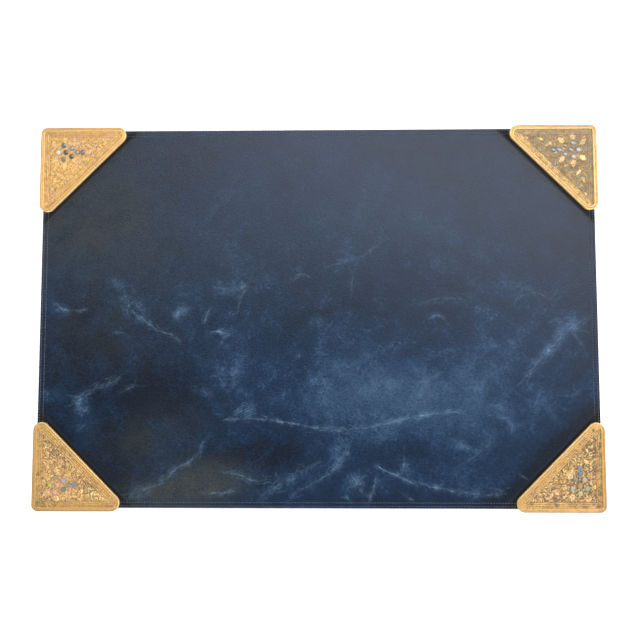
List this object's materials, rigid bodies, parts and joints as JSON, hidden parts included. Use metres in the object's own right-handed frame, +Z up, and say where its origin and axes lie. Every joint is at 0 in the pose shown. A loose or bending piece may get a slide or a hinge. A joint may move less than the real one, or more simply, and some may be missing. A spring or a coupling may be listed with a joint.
{
  "type": "desk mat",
  "caption": "Rectangular stitched leather desk mat held at its corners by slip-on triangular cast metal covers with relief ornament and inlaid shell discs.",
  "frame": {"origin": "on the surface the mat lies on, under the middle of the mat", "axes": "+X to the right along the long side, +Y to the rear, +Z up through the leather face"},
  "size_m": [0.6166, 0.4216, 0.0082],
  "materials": {
    "leather": "navy pull-up leather, waxed, with paler creases and scuffs",
    "board": "dense grey-brown fibre board",
    "backing": "dark blue split, napped",
    "thread": "waxed navy thread",
    "bronze": "gilt cast bronze with brown and green patina in the relief",
    "plate": "brushed and aged bronze sheet",
    "shell": "polished shell with a shifting green, pink and silver lustre",
    "rivet": "filed brass"
  },
  "bodies": {
    "pad": {"leather_top": "leather", "stiffener_board": "board", "backing_sheet": "backing", "needle_thread_outer": "thread", "needle_thread_inner": "thread", "bobbin_thread_outer": "thread", "bobbin_thread_inner": "thread"},
    "rear_left": {"rear_left_cover": "bronze", "rear_left_back_plate": "plate", "rear_left_shell_discs": "shell", "rear_left_rivets": "rivet"},
    "rear_right": {"rear_right_cover": "bronze", "rear_right_back_plate": "plate", "rear_right_shell_discs": "shell", "rear_right_rivets": "rivet"},
    "front_left": {"front_left_cover": "bronze", "front_left_back_plate": "plate", "front_left_shell_discs": "shell", "front_left_rivets": "rivet"},
    "front_right": {"front_right_cover": "bronze", "front_right_back_plate": "plate", "front_right_shell_discs": "shell", "front_right_rivets": "rivet"}
  },
  "joints": [
    {"name": "rear_left_pull_off", "type": "slide", "parent": "pad", "child": "rear_left", "axis": [-0.7071, 0.7071, 0], "range_m": [0, 0.075]},
    {"name": "rear_right_pull_off", "type": "slide", "parent": "pad", "child": "rear_right", "axis": [0.7071, 0.7071, 0], "range_m": [0, 0.075]},
    {"name": "front_left_pull_off", "type": "slide", "parent": "pad", "child": "front_left", "axis": [-0.7071, -0.7071, 0], "range_m": [0, 0.075]},
    {"name": "front_right_pull_off", "type": "slide", "parent": "pad", "child": "front_right", "axis": [0.7071, -0.7071, 0], "range_m": [0, 0.075]}
  ]
}
